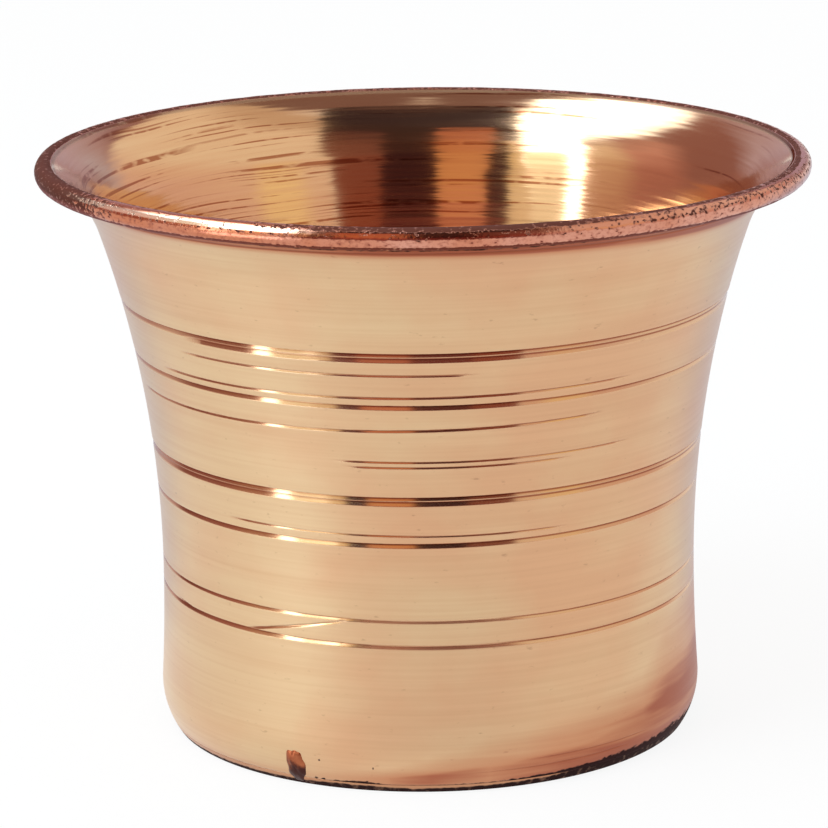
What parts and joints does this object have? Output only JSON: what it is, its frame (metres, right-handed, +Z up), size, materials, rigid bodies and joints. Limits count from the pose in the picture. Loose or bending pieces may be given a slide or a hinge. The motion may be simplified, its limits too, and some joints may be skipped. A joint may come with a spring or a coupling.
{
  "type": "panchpatra",
  "caption": "Small copper ritual cup with a flared mouth, a wired and rolled rim, a turned-in foot and scribed grooves. It holds water for offerings.",
  "frame": {"origin": "centre of the flat underside of the base, on the cup's axis", "axes": "+Z up along the cup's axis towards the mouth; X and Y are free because the cup is round"},
  "size_m": [0.076, 0.076, 0.0574],
  "materials": {
    "copper_wall": "copper sheet, spun and satin polished on the lathe",
    "copper_wire": "drawn copper wire, dull",
    "copper_base": "copper sheet, satin, darkened at the edge",
    "braze": "braze metal as run, oxidised"
  },
  "bodies": {
    "root": {"cup_wall": "copper_wall", "rim_wire": "copper_wire", "base_disc": "copper_base", "base_braze": "braze"}
  },
  "joints": []
}
